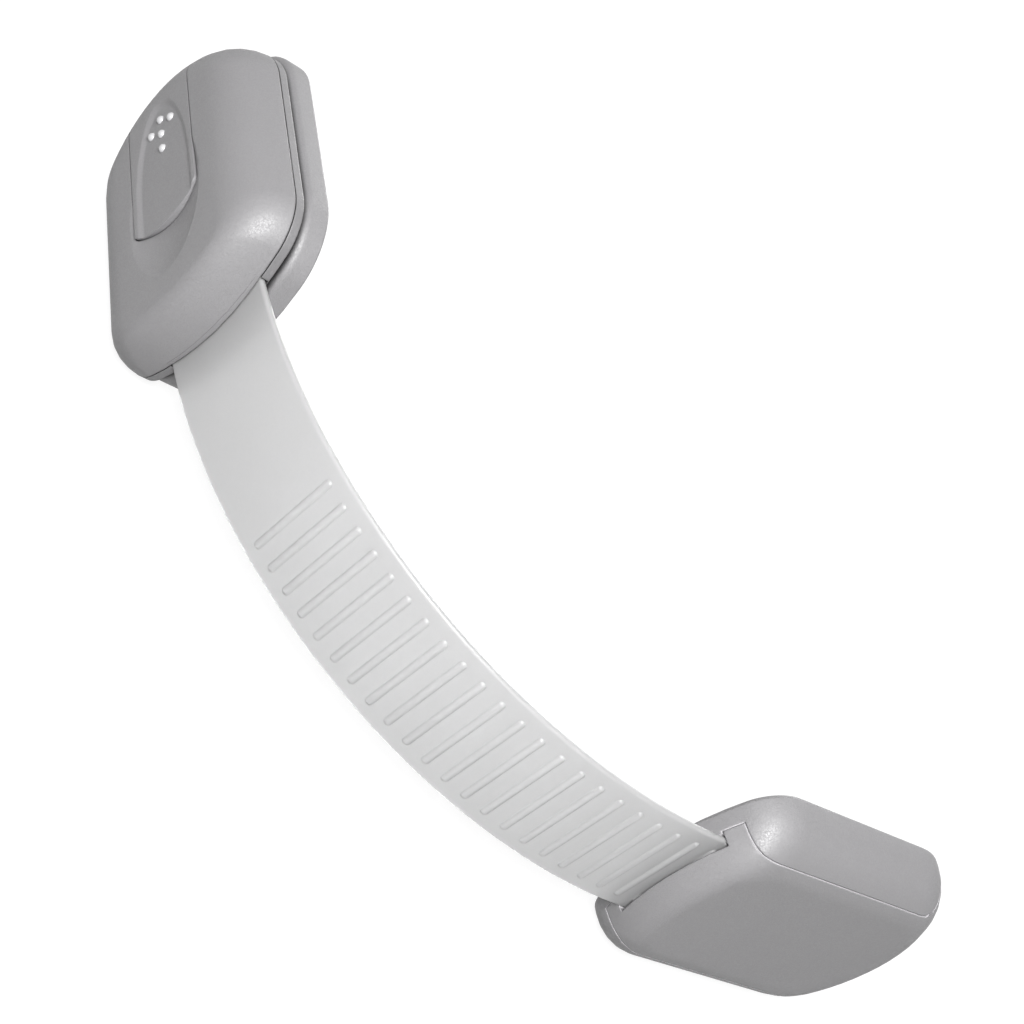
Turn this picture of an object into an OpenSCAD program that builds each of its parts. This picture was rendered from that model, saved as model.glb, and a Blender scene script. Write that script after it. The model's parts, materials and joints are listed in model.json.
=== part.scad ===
// Cabinet safety lock: a soft strap with a quick-release latch at one end and a
// length adjuster at the other, stuck on by foam pads round the corner of a cabinet.
// Millimetres. Z is up and runs across the strap, so the lock stands on the long
// edges of its two housings. The cabinet's corner would fill the inside of the bend.

/* [Strap] */
// Width of the strap
strap_w = 22; // [18:0.5:24]
// Thickness of the strap
strap_t = 1.2; // [0.9:0.1:1.3]
// Radius of the bend at the strap's front face
bend_r = 83; // [70:1:110]
// Length of the strap's end that is held in the latch
anchor_l = 8.4; // [7.8:0.1:9]
// Length of the strap's tail that lies in the adjuster
tail_l = 34; // [31:0.5:37]
// Distance from one grip rib to the next
rib_pitch = 3.96; // [3.6:0.02:4.4]
// Length along the strap from the latch to the first rib
rib_start = 44.8; // [36:0.1:54]
// Length of a grip rib across the strap
rib_l = 17.4; // [13:0.1:18]
// Height of a grip rib
rib_h = 0.4; // [0.2:0.05:0.45]
// Radius of a grip rib's back
rib_r = 0.75; // [0.6:0.05:0.95]

/* [Housings] */
// Length of each housing
housing_l = 56.8; // [55:0.2:62]
// Width of each housing
housing_w = 41.5; // [40:0.5:46]
// Radius of the arc across the strap end
strap_end_r = 40; // [34:1:60]
// Radius of the corners beside the strap
strap_corner_r = 8.7; // [7:0.1:10]
// Radius of the arc across the far end
far_end_r = 26; // [24:1:34]
// Radius of the corners at the far end
far_corner_r = 13; // [10:0.5:15]
// Radius of the rounded front edge along the sides
edge_r = 9; // [8.6:0.1:10]
// Run of the rounded front edge at the strap end
strap_edge_run = 4.5; // [3.5:0.1:6]
// Run of the rounded front edge at the far end
far_edge_run = 7; // [6.4:0.1:9]
// Wall of the housings
wall = 1.8; // [1.4:0.1:2]
// Gap at a seam between two pieces
seam = 0.2; // [0.1:0.02:0.3]

/* [Latch] */
// Height of the cover above the strap's level
cover_h = 7.8; // [7.4:0.1:8.2]
// Distance of the cover's far end inside the plate's
cover_in = 1.4; // [0:0.1:1.8]
// Radius of the arc across the cover's far end
cover_far_r = 24; // [23:0.5:28]
// Thickness of the cover's front wall
cover_top = 2.4; // [2.1:0.1:2.6]
// Thickness of the back shell
shell_t = 2.1; // [2:0.05:2.6]
// Thickness of the plate that stays on the cabinet
plate_t = 4.2; // [3.4:0.1:5.5]
// Radius of the plate's corners beside the strap
plate_corner_r = 12; // [8:0.5:14]
// Rounding of the plate's front edge
plate_edge_r = 1.4; // [0.8:0.1:1.8]
// Most that the bend starts inside the latch's strap end
latch_run = 12; // [11:0.1:12.5]
// Height of the strap's front face above the cover's rim
strap_set = 0.5; // [0.3:0.05:0.6]
// Distance of the catch stud from the latch's far end
stud_in = 22.3; // [21.3:0.1:22.8]
// Radius of the catch stud's neck
stud_neck_r = 1.7; // [1.4:0.05:1.9]
// Radius of the catch stud's head
stud_head_r = 3; // [2.7:0.05:3.2]
// Wire radius of the catch clip
clip_r = 0.5; // [0.4:0.02:0.55]

/* [Release slide] */
// Width of the slide's thumb plate
slide_w = 15.6; // [14:0.2:17]
// Length of the slide's thumb plate
slide_l = 36.9; // [36.4:0.1:37.8]
// Radius of the thumb plate's rounded end
slide_tip_r = 16.3; // [12:0.1:24]
// Travel of the slide towards the far end
slide_travel = 4; // [3:0.1:4.2]
// Depth of the thumb scoop in the cover
cover_scoop_d = 1.6; // [1:0.05:1.7]
// Depth of the thumb scoop in the slide
slide_scoop_d = 0.5; // [0.3:0.05:0.8]
// Radius of a raised dot on the slide
dot_r = 0.8; // [0.7:0.05:1.1]
// Distance between the dots along the slide
dot_pitch = 3.5; // [3:0.1:3.8]

/* [Adjuster] */
// Height of the adjuster without its pad
adjuster_h = 10.4; // [10:0.1:11.5]
// Height of the strap's front face above the adjuster's back
strap_h = 5.35; // [5:0.05:5.6]
// Distance from the adjuster's strap end to the end of the bend
adjuster_in = 4.9; // [4:0.1:6]
// Half width of the lid between its side seams
lid_half_w = 15.2; // [14:0.1:16]
// Half width of the lid at the strap end
lid_end_half_w = 14.5; // [13:0.1:15]
// Length of the lid's cap at the far end
cap_l = 9.1; // [8.8:0.1:9.6]
// Rounding of the seam where the cap begins
cap_corner_r = 3.4; // [2:0.1:4]
// Height of the parting line beside the strap
part_h = 3.6; // [3:0.1:3.9]
// Radius of the lid's hinge pin
pin_r = 1; // [0.7:0.05:1.2]
// Number of grip teeth under the lid
tooth_n = 5; // [3:1:6]

/* [Pads] */
// Thickness of the adhesive foam pads
pad_t = 1; // [0.6:0.1:1.6]
// Inset of a pad from its housing's outline
pad_inset = 3; // [2:0.1:5]

/* [Hidden] */
$fn = 64;

// Fits and cutting
overrun = 1;
slip = 0.15;
touch = 0.05;
sink = 0.2;
scoop_fn = 180;
rib_fn = 24;
half_w = housing_w / 2;

// Lofted housings: angle between outline points, and steps round the front edge
outline_step = 6;
inner_step = 12;
edge_steps = 7;
inner_edge_steps = 4;
flat_strap_share = 0.5;
flat_far_share = 0.2;
back_bevel = 0.8;

// Latch's places along its length, and the bend's start, sooner in a short housing
anchor_room = 44.8;
latch_in = min(latch_run, housing_l - anchor_room);
stud_y = housing_l - stud_in;
slide_tip_y = housing_l - slide_l;

// Bend of the strap in the part's frame, which has its origin under the middle
bend_x = (bend_r - strap_set + cover_h + adjuster_in - housing_l) / 2;
bend_y = (bend_r - strap_h + adjuster_h + latch_in - housing_l) / 2;
arc_l = bend_r * PI / 2;
rib_end_room = 2 * rib_r;
rib_n = floor((arc_l + tail_l - rib_end_room - rib_start) / rib_pitch) + 1;

// Latch, laid out from its far end and up from the cover's rim
plate_top = -shell_t - seam;
plate_back = plate_top - plate_t;
pad_seat = 0.4;
slide_half_w = slide_w / 2;
tip_corner_r = 1;
inner_top = cover_h - cover_top;
strap_end_y = latch_in + anchor_l;
eyelet_in = 4.5;
eyelet_x = strap_w / 2 - eyelet_in;
eyelet_y = latch_in + anchor_l / 2;
far_screw_x = 14;
far_screw_in = 15.8;
far_screw_y = housing_l - far_screw_in;
peg_r = 2.1;
boss_r = 2.5;
screw_r = 0.85;
screw_hole_r = 1;
screw_head_r = 1.7;
screw_head_h = 0.8;
head_room_h = screw_head_h + slip;
screw_tip_h = inner_top - screw_head_h;
stud_head_h = 0.5;
stud_cone_h = 1.2;
stud_cone_share = 0.4;
stud_clear = 0.25;
clip_h = touch + clip_r;
clip_x = stud_neck_r + touch + clip_r;
clip_reach = 10.5;
clip_bend_y = stud_y + clip_reach;
clip_bend_r = clip_x;
clip_boss_r = clip_bend_r - clip_r - touch;
clip_boss_h = 2 * clip_r + touch;
clip_top = clip_h + clip_r;
clip_sides = 10;
clip_bend_step = 15;
wedge_deg = 22;
wedge_room = 0.4;
wedge_back_room = 0.9;
wedge_tip_y = stud_y - stud_head_r - slide_travel - wedge_room;
wedge_l = wedge_tip_y - strap_end_y - wedge_back_room;
wedge_tip_half = clip_x - clip_r - wedge_room;
wedge_half = wedge_tip_half + wedge_l * tan(wedge_deg);
flare_start_y = wedge_tip_y + wedge_room;
flare_room = 0.6;
flare_l = (flare_start_y - strap_end_y - flare_room) / cos(wedge_deg);
locator_r = 1.5;
locator_x = 14;
locator_in = 32.8;
locator_y = housing_l - locator_in;
locator_h = shell_t - 2 * slip;

// Release slide and its spring
flange_t = 1.4;
flange_top = inner_top - seam;
flange_bottom = flange_top - flange_t;
flange_side_w = 2.6;
flange_half_w = slide_half_w + flange_side_w;
flange_set_back = 5.1;
flange_y = slide_tip_y + flange_set_back;
flange_l = 14.5;
block_l = 16.5;
rail_t = 1.6;
rail_half = flange_half_w - rail_t - slip;
rail_l = flange_l + slide_travel;
lug_t = 1.5;
lug_room = 0.9;
lug_y = stud_y + stud_head_r + lug_room;
lug_half_w = 1.9;
lug_bottom = clip_top + slip;
spring_wire_r = 0.2;
spring_r = 0.78;
spring_turns = 8;
spring_rings = 8;
spring_sides = 6;
spring_h = lug_bottom + spring_r + spring_wire_r;
spring_y = lug_y + lug_t + spring_wire_r + touch;
post_in = 7.2;
post_t = 1.5;
post_y = housing_l - post_in;
spring_l = post_y - spring_y - spring_wire_r - touch;
dot_in = 20.3;
dot_y = housing_l - dot_in;
dot_side_x = 2.55;
dot_side_share = 1.5;
dot_proud = 0.6;

// Lines round the back shell: a fine one under the cover and a wider one above the plate
line_h = 0.2;
line_d = 0.4;
groove_h = 0.5;
groove_d = 1.2;

// Thumb scoops: middle from the far end, half length and half width
cover_scoop_in = 32.8;
cover_scoop_y = housing_l - cover_scoop_in;
cover_scoop_half_l = 15.6;
cover_scoop_half_w = 9;
slide_scoop_in = 28.8;
slide_scoop_y = housing_l - slide_scoop_in;
slide_scoop_half_l = 19.8;
slide_scoop_half_w = 7.1;

// Sloping rim of the slide's scoop: width at the sides and at the arched end, steps
scoop_side_run = 1.3;
scoop_end_run = 2.2;
scoop_steps = 8;

// Adjuster, measured from its strap end and up from its back
floor_t = 1.6;
bed_gap = 0.3;
bed_top = strap_h - strap_t - bed_gap;
bed_half_w = strap_w / 2 - slip;
lid_inner_h = adjuster_h - wall;
bed_l = adjuster_in + tail_l + overrun;
notch_half_w = strap_w / 2 + slip;
notch_top = strap_h + rib_h + slip;
ledge_w = 1.8;
lid_narrow_y = 3;
lid_widen_l = 7;
lid_steps = 6;
pocket_half_w = lid_half_w - ledge_w;
front_wall_t = 3.4;
cap_y = housing_l - cap_l;
pivot_in = 5.2;
pivot_y = housing_l - pivot_in;
pivot_h = 4.6;
knuckle_r = 1.9;
knuckle_half_w = 6.1;
knuckle_rise = 0.6;
lug_w = 2.8;
pin_slip = 0.05;
pin_fit = 0.02;
pin_l = 2 * (knuckle_half_w + seam + lug_w);
cap_drop = 2;
cap_low_h = pivot_h - cap_drop;
cap_low_half_w = pocket_half_w - seam;
corner_clear_r = 2.9;
side_seam_h = adjuster_h - edge_r + sqrt(pow(edge_r, 2) - pow(edge_r - half_w + lid_half_w, 2));
tooth_t = 1.2;
tooth_half_w = rib_l / 2;
tooth_gap = 0.1;
tooth_first = 2;
first_tail_rib = rib_start + ceil((arc_l - rib_start) / rib_pitch) * rib_pitch - arc_l;

plastic = [0.56, 0.55, 0.565];
strap_grey = [0.83, 0.835, 0.84];
steel = [0.72, 0.73, 0.75];
foam = [0.93, 0.93, 0.92];

// An outline is [half width, strap end, far end, strap arc, strap corner, far arc, far corner]
adjuster_outline =
    [half_w, 0, housing_l, strap_end_r, strap_corner_r, far_end_r, far_corner_r];
plate_outline =
    [half_w, 0, housing_l, strap_end_r, plate_corner_r, far_end_r, far_corner_r];
cover_outline =
    [half_w, 0, housing_l - cover_in, strap_end_r, strap_corner_r, cover_far_r, far_corner_r];

// Outline moved inwards
function inset_outline(o, inset) = [for (i = [0:len(o) - 1]) i == 1 ? o[i] + inset : o[i] - inset];

// Rise of a corner's centre from its end arc's centre, where the two arcs meet smoothly
function corner_rise(a, arc, corner) = sqrt(pow(arc - corner, 2) - pow(a - corner, 2));

// Point of an end of an outline whose normal points at angle p, from 0 to 180
function end_point(a, arc, corner, p) =
    let (rise = corner_rise(a, arc, corner), turn = atan2(rise, a - corner))
    p < turn ? [a - corner + corner * cos(p), rise + corner * sin(p)]
    : p > 180 - turn ? [corner - a + corner * cos(p), rise + corner * sin(p)]
    : [arc * cos(p), arc * sin(p)];

// Points once round an outline, the far end first
function outline_points(o, step) = concat(
    [for (p = [0:step:180]) end_point(o[0], o[5], o[6], p) + [0, o[2] - o[5]]],
    [for (p = [0:step:180]) [0, o[1] + o[3]] - end_point(o[0], o[3], o[4], p)]);

// Ring at a height, between the flat front's outline and the full one
function ring(flat, full, share, h) =
    [for (i = [0:len(flat) - 1]) concat(flat[i] * (1 - share) + full[i] * share, h)];

// Outline of the flat front face inside the rounded front edge
function flat_outline(o, edge_run) =
    let (a = o[0] - edge_run)
    [a, strap_edge_run, o[2] - far_edge_run, o[3] - strap_edge_run, o[4] * flat_strap_share,
     max(o[5] - far_edge_run, a + touch), o[6] * flat_far_share];

// Rings of a rounded front edge that falls by drop from height top
function edge_rings(flat, full, top, r, drop, steps) =
    let (last = acos(1 - drop / r))
    [for (i = [0:steps]) let (t = last * (1 - i / steps))
        ring(flat, full, sin(t) / sin(last), top - r * (1 - cos(t)))];

// Closed solid through rings of equal count, from the lowest to the highest
module loft(rings) {
    n = len(rings[0]);
    top = (len(rings) - 1) * n;
    sides = [for (k = [0:len(rings) - 2], i = [0:n - 1])
        let (a = k * n + i, b = k * n + (i + 1) % n) each [[a, a + n, b + n], [a, b + n, b]]];
    polyhedron(
        points = [for (r = rings) each r],
        faces = concat(sides, [[for (i = [0:n - 1]) i]], [[for (i = [n - 1:-1:0]) top + i]]));
}

// Latch cover's outer form, from its rim to its front face
module cover_form() {
    run = sqrt(pow(edge_r, 2) - pow(edge_r - cover_h, 2));
    loft(edge_rings(outline_points(flat_outline(cover_outline, run), outline_step),
        outline_points(cover_outline, outline_step), cover_h, edge_r, cover_h, edge_steps));
}

// Room inside the latch cover
module cover_room() {
    run = sqrt(pow(edge_r, 2) - pow(edge_r - cover_h, 2));
    full = outline_points(inset_outline(cover_outline, wall), inner_step);
    flat = outline_points(flat_outline(cover_outline, run), inner_step);
    loft(concat([ring(flat, full, 1, -overrun)],
        edge_rings(flat, full, inner_top, edge_r - wall, inner_top, inner_edge_steps)));
}

// Adjuster's outer form, from its back to its front face
module adjuster_form() {
    full = outline_points(adjuster_outline, outline_step);
    flat = outline_points(flat_outline(adjuster_outline, edge_r), outline_step);
    bevelled = outline_points(inset_outline(adjuster_outline, back_bevel), outline_step);
    drop = min(edge_r, adjuster_h - 2 * back_bevel);
    loft(concat([ring(bevelled, bevelled, 0, 0)], [ring(flat, full, 1, back_bevel)],
        edge_rings(flat, full, adjuster_h, edge_r, drop, edge_steps)));
}

// Room inside the adjuster's lid
module adjuster_room() {
    full = outline_points(inset_outline(adjuster_outline, wall), inner_step);
    flat = outline_points(flat_outline(adjuster_outline, edge_r), inner_step);
    loft(concat([ring(flat, full, 1, -overrun)],
        edge_rings(flat, full, lid_inner_h, edge_r - wall, edge_r - wall, inner_edge_steps)));
}

// Flat slab of an outline between two heights
module slab(o, low, high) {
    translate([0, 0, low]) linear_extrude(high - low) polygon(outline_points(o, outline_step));
}

// Box that is centred on the width
module bar(half, y, z, l, h) {
    translate([-half, y, z]) cube([2 * half, l, h]);
}

// Latch frame: X across, Y away from the strap, Z towards the front
module in_latch() {
    translate([bend_x - bend_r + strap_set, bend_y - latch_in, half_w]) rotate([0, -90, 0]) children();
}

// Adjuster frame: X across, Y away from the strap, Z towards the front
module in_adjuster() {
    translate([bend_x - adjuster_in, bend_y - bend_r + strap_h, half_w])
        rotate([90, 0, 0]) rotate([0, 0, -90]) children();
}

// Strap's cross-section with rounded edges
module strap_section() {
    square([strap_t, strap_w - strap_t], center = true);
    for (s = [-1, 1]) translate([0, s * (strap_w - strap_t) / 2]) circle(strap_t / 2);
}

// A section carried along the whole strap
module along_strap() {
    translate([bend_x, bend_y, half_w]) rotate(180)
        rotate_extrude(angle = 90) translate([bend_r - strap_t / 2, 0]) children();
    translate([bend_x - bend_r + strap_t / 2, bend_y, half_w]) rotate([-90, 0, 0])
        linear_extrude(anchor_l) children();
    translate([bend_x, bend_y - bend_r + strap_t / 2, half_w]) rotate([90, 0, 90])
        linear_extrude(tail_l) children();
}

// Space that the strap needs, written in the latch's frame
module strap_room() {
    rotate([0, 90, 0]) translate([bend_r - bend_x - strap_set, latch_in - bend_y, -half_w])
        along_strap() square([strap_t + 2 * slip, strap_w + 2 * slip], center = true);
}

// Front half of one raised rib, rounded at both ends
module rib() {
    rotate(-90) rotate_extrude(angle = 180, $fn = rib_fn) intersection() {
        translate([0, -rib_l / 2]) square([rib_r, rib_l]);
        union() {
            translate([0, rib_r - rib_l / 2]) square([rib_r, rib_l - 2 * rib_r]);
            for (s = [-1, 1]) translate([0, s * (rib_l / 2 - rib_r)]) circle(rib_r);
        }
    }
}

module strap() {
    color(strap_grey) difference() {
        union() {
            along_strap() strap_section();
            for (i = [0:rib_n - 1]) let (s = rib_start + i * rib_pitch)
                translate([bend_x + max(s - arc_l, 0), bend_y, half_w]) rotate(180 + 90 * min(s / arc_l, 1))
                    translate([bend_r - rib_r + rib_h, 0, 0]) rib();
        }
        in_latch() for (s = [-1, 1]) translate([s * eyelet_x, eyelet_y, -overrun])
            cylinder(r = peg_r + slip, h = 2 * overrun + strap_set);
    }
}

// Radius of an arc from its half chord and its depth
function arc_radius(half_chord, depth) = (pow(half_chord, 2) + pow(depth, 2)) / (2 * depth);

// Solid of revolution that cuts an oval scoop of a given depth into the front face
module scoop(y, half_l, half_w, depth) {
    long_r = arc_radius(half_l, depth);
    cross_r = arc_radius(half_w, depth);
    translate([0, y, cover_h - depth + long_r]) rotate([0, 90, 0])
        rotate_extrude($fn = scoop_fn) translate([long_r - cross_r, 0]) circle(cross_r, $fn = scoop_fn);
}

// Outline of the slide's scoop at a share of its sloping rim: an arch, open beyond the slide's tip
function arch(share, h) =
    let (a = slide_scoop_half_w - share * scoop_side_run, b = slide_scoop_half_l - share * scoop_end_run)
    concat([for (t = [0:outline_step:180]) [a * cos(t), slide_scoop_y + b * sin(t), h]],
        [for (side = [-1, 1]) [side * a, slide_tip_y - overrun, h]]);

// Flat-bottomed scoop of the slide
module slide_scoop() {
    rim = [for (i = [0:scoop_steps]) let (share = 1 - i / scoop_steps)
        arch(share, cover_h - slide_scoop_d * (1 - cos(180 * share)) / 2)];
    loft(concat(rim, [arch(0, cover_h + overrun)]));
}

// Thumb plate's outline seen from the front, open towards the far end
module slide_outline(grow) {
    half = slide_half_w + grow;
    offset(r = tip_corner_r) offset(delta = -tip_corner_r) intersection() {
        translate([-half, slide_tip_y - grow]) square([2 * half, housing_l]);
        union() {
            translate([0, slide_tip_y + slide_tip_r]) circle(slide_tip_r + grow, $fn = scoop_fn);
            translate([-half, slide_tip_y + slide_tip_r]) square([2 * half, housing_l]);
        }
    }
}

// Places of the screws across the latch: two through the strap, two at the far end
module at_screws() {
    for (s = [-1, 1]) {
        translate([s * eyelet_x, eyelet_y, 0]) children();
        translate([s * far_screw_x, far_screw_y, 0]) children();
    }
}

// Tongue that fills the slot between the cover's rim and the strap, which bends away
module slot_tongue() {
    intersection() {
        slab(cover_outline, -shell_t, strap_t);
        bar(strap_w / 2, 0, -strap_t / 2, 2 * wall, strap_t);
    }
}

module latch_cover() {
    color(plastic) in_latch() difference() {
        union() {
            difference() {
                cover_form();
                cover_room();
            }
            intersection() {
                cover_form();
                union() {
                    for (s = [-1, 1]) {
                        translate([s * eyelet_x, eyelet_y, strap_set + slip])
                            cylinder(r = boss_r, h = inner_top);
                        translate([s * far_screw_x, far_screw_y, 0])
                            cylinder(r = boss_r, h = inner_top);
                    }
                }
            }
            slot_tongue();
        }
        at_screws() translate([0, 0, -overrun]) cylinder(r = screw_hole_r, h = inner_top + overrun);
        translate([0, 0, -overrun]) linear_extrude(cover_h + 2 * overrun) slide_outline(seam);
        scoop(cover_scoop_y, cover_scoop_half_l, cover_scoop_half_w, cover_scoop_d);
        strap_room();
    }
}

// Cut of a given depth round the outline that the cover and the back shell share
module rim_cut(low, high, depth) {
    difference() {
        slab(inset_outline(cover_outline, -overrun), low, high);
        slab(inset_outline(cover_outline, depth), low - overrun, high + overrun);
    }
}

module latch_back_shell() {
    color(plastic) in_latch() difference() {
        union() {
            difference() {
                slab(cover_outline, -shell_t, 0);
                strap_room();
                bar(strap_w / 2 + slip, -overrun, -strap_t / 2, latch_in + overrun, shell_t);
            }
            for (s = [-1, 1]) {
                translate([s * eyelet_x, eyelet_y, -shell_t])
                    cylinder(r = peg_r, h = shell_t + strap_set);
                translate([s > 0 ? rail_half : -rail_half - rail_t, flange_y, -sink])
                    cube([rail_t, rail_l, flange_bottom - slip + sink]);
            }
            translate([0, clip_bend_y, -sink]) cylinder(r = clip_boss_r, h = clip_boss_h + sink);
            bar(lug_half_w, post_y, -sink, post_t, flange_bottom - slip + sink);
        }
        at_screws() {
            translate([0, 0, -shell_t - overrun]) cylinder(r = screw_hole_r, h = shell_t + 2 * overrun);
            translate([0, 0, -shell_t - overrun])
                cylinder(r = screw_head_r + slip, h = head_room_h + overrun);
        }
        translate([0, stud_y, -shell_t - overrun])
            cylinder(r = stud_head_r + stud_clear, h = shell_t + 2 * overrun);
        for (s = [-1, 1]) translate([s * locator_x, locator_y, -shell_t - overrun])
            cylinder(r = locator_r + slip, h = shell_t + 2 * overrun);
        rim_cut(-line_h, overrun, line_d);
        rim_cut(-shell_t - overrun, groove_h - shell_t, groove_d);
    }
}

module latch_screws() {
    color(steel) in_latch() at_screws() {
        translate([0, 0, -shell_t + slip]) cylinder(r = screw_head_r, h = screw_head_h);
        translate([0, 0, -shell_t + slip]) cylinder(r = screw_r, h = shell_t + screw_tip_h);
    }
}

module release_slide() {
    color(plastic) in_latch() {
        difference() {
            intersection() {
                difference() {
                    cover_form();
                    cover_room();
                }
                translate([0, 0, seam]) linear_extrude(cover_h) slide_outline(0);
            }
            slide_scoop();
        }
        bar(slide_half_w - seam, flange_y, flange_bottom, block_l, inner_top - flange_bottom + sink);
        bar(flange_half_w, flange_y, flange_bottom, flange_l, flange_t);
        bar(lug_half_w, lug_y, lug_bottom, lug_t, flange_bottom - lug_bottom + sink);
        wedge();
        dots();
    }
}

// Wedge under the thumb plate that spreads the catch clip
module wedge() {
    translate([0, 0, sink]) linear_extrude(inner_top) intersection() {
        slide_outline(0);
        polygon([
            [-wedge_half, wedge_tip_y - wedge_l], [wedge_half, wedge_tip_y - wedge_l],
            [wedge_tip_half, wedge_tip_y], [-wedge_tip_half, wedge_tip_y]]);
    }
}

// Raised dots in the shape of an arrow, which shows the way the slide moves
module dots() {
    places = concat([for (i = [0:2]) [0, dot_y + i * dot_pitch]],
        [for (s = [-1, 1]) [s * dot_side_x, dot_y + dot_side_share * dot_pitch]]);
    for (p = places) {
        translate([p[0], p[1], cover_h - slide_scoop_d + dot_proud - dot_r]) sphere(dot_r, $fn = 32);
    }
}

// Point of the spring's helix at radius r, after a number of its rings
function helix_point(i, r) =
    let (turn = 360 * i / spring_rings, last = spring_turns * spring_rings)
    [r * cos(turn), spring_y + spring_l * i / last, spring_h + r * sin(turn)];

// Coil that pushes the slide back: one tube swept along a helix
module slide_spring() {
    last = spring_turns * spring_rings;
    rings = [for (i = [0:last]) [for (k = [0:spring_sides - 1]) let (q = 360 * k / spring_sides)
        helix_point(i, spring_r + spring_wire_r * cos(q)) + [0, spring_wire_r * sin(q), 0]]];
    gaps = [for (i = [0:last], j = [i + spring_rings / 2:last])
        norm(helix_point(j, spring_r) - helix_point(i, spring_r)) - 2 * spring_wire_r];
    echo(spring_least_gap = min(gaps));
    color(steel) in_latch() loft(rings);
}

// Middle line of the catch clip: a flared leg, a leg, the round bend, and back
clip_flare = [clip_x + flare_l * sin(wedge_deg), flare_start_y - flare_l * cos(wedge_deg)];
clip_path = concat(
    [clip_flare, [clip_x, flare_start_y]],
    [for (p = [0:clip_bend_step:180]) [0, clip_bend_y] + clip_bend_r * [cos(p), sin(p)]],
    [[-clip_x, flare_start_y], [-clip_flare[0], clip_flare[1]]]);

function unit(v) = v / norm(v);

// Wire clip that grips the stud under its head: one tube swept along its middle line
module catch_clip() {
    last = len(clip_path) - 1;
    rings = [for (i = [0:last])
        let (
            before = unit(clip_path[max(i, 1)] - clip_path[max(i, 1) - 1]),
            after = unit(clip_path[min(i, last - 1) + 1] - clip_path[min(i, last - 1)]),
            ahead = unit(before + after))
        [for (k = [0:clip_sides - 1]) let (q = 360 * k / clip_sides, r = clip_r * cos(q))
            [clip_path[i][0] - ahead[1] * r, clip_path[i][1] + ahead[0] * r, clip_h + clip_r * sin(q)]]];
    color(steel) in_latch() loft(rings);
}

module latch_plate() {
    full = outline_points(plate_outline, outline_step);
    inner = outline_points(inset_outline(plate_outline, plate_edge_r), outline_step);
    color(plastic) in_latch() {
        difference() {
            loft(concat([ring(full, full, 0, plate_back)],
                edge_rings(inner, full, plate_top, plate_edge_r, plate_edge_r, inner_edge_steps)));
            slab(inset_outline(plate_outline, pad_inset - slip), plate_back - overrun,
                plate_back + pad_seat);
        }
        for (s = [-1, 1]) translate([s * locator_x, locator_y, plate_top - sink])
            cylinder(r = locator_r, h = locator_h + sink);
        stud();
    }
}

// Mushroom stud that the catch clip grips under its head
module stud() {
    neck_h = clip_top + touch;
    translate([0, stud_y, 0]) rotate_extrude() polygon([
        [0, plate_top - sink], [stud_neck_r, plate_top - sink], [stud_neck_r, neck_h], [stud_head_r, neck_h],
        [stud_head_r, neck_h + stud_head_h],
        [stud_head_r * stud_cone_share, neck_h + stud_head_h + stud_cone_h],
        [0, neck_h + stud_head_h + stud_cone_h]]);
}

module latch_pad() {
    color(foam) in_latch()
        slab(inset_outline(plate_outline, pad_inset), plate_back - pad_t, plate_back + pad_seat);
}

// Side view of the lid's cap, which turns down over the far end
module cap_side() {
    translate([cap_y, pivot_h]) square([housing_l, housing_l]);
    difference() {
        translate([cap_y - cap_corner_r, side_seam_h - cap_corner_r]) square([housing_l, housing_l]);
        translate([cap_y - cap_corner_r, side_seam_h - cap_corner_r]) circle(cap_corner_r);
    }
}

// A side view, drawn along and up, carried across the width
module across(half) {
    translate([half, 0, 0]) rotate([90, 0, -90]) mirror([1, 0]) linear_extrude(2 * half) children();
}

// Lid's half width at a share of its smooth widening from the strap end
function lid_half(share) = lid_end_half_w + (lid_half_w - lid_end_half_w) * (1 - cos(180 * share)) / 2;

// Lid's outline seen from the front, narrower at the strap end
module lid_outline(grow) {
    side = concat([[lid_end_half_w + grow, -overrun]],
        [for (i = [0:lid_steps]) let (share = i / lid_steps)
            [lid_half(share) + grow, lid_narrow_y + lid_widen_l * share]],
        [[lid_half_w + grow, housing_l + overrun]]);
    polygon(concat(side, [for (i = [len(side) - 1:-1:0]) [-side[i][0], side[i][1]]]));
}

// Space of the lid inside the adjuster's form, grown by a clearance towards the base
module lid_space(grow) {
    translate([0, 0, part_h - grow]) linear_extrude(adjuster_h) lid_outline(grow - seam / 2);
    translate([0, -grow, -grow]) across(half_w + overrun) cap_side();
    bar(cap_low_half_w + grow, pivot_y - grow, cap_low_h - grow, housing_l, adjuster_h);
}

// Rounds about the lid's pivot
module pivot_rod(half, r) {
    translate([-half, pivot_y, pivot_h]) rotate([0, 90, 0]) cylinder(r = r, h = 2 * half);
}

module adjuster_base() {
    color(plastic) in_adjuster() difference() {
        union() {
            difference() {
                adjuster_form();
                lid_space(seam);
                bar(pocket_half_w, front_wall_t, floor_t, housing_l, adjuster_h);
                bar(pocket_half_w, cap_y - seam, -overrun, housing_l, adjuster_h);
                pivot_rod(half_w + overrun, corner_clear_r);
            }
            intersection() {
                adjuster_form();
                bar(bed_half_w, 0, sink, bed_l, bed_top - sink);
            }
            bar(knuckle_half_w, bed_l, floor_t - sink, cap_y - seam - bed_l,
                pivot_h + knuckle_rise - floor_t + sink);
            bar(knuckle_half_w, cap_y - cap_corner_r, pivot_h - knuckle_r, pivot_y - cap_y + cap_corner_r,
                knuckle_r + knuckle_rise);
            pivot_rod(knuckle_half_w, knuckle_r);
        }
        pivot_rod(pin_l / 2, pin_r + pin_fit);
    }
}

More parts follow.
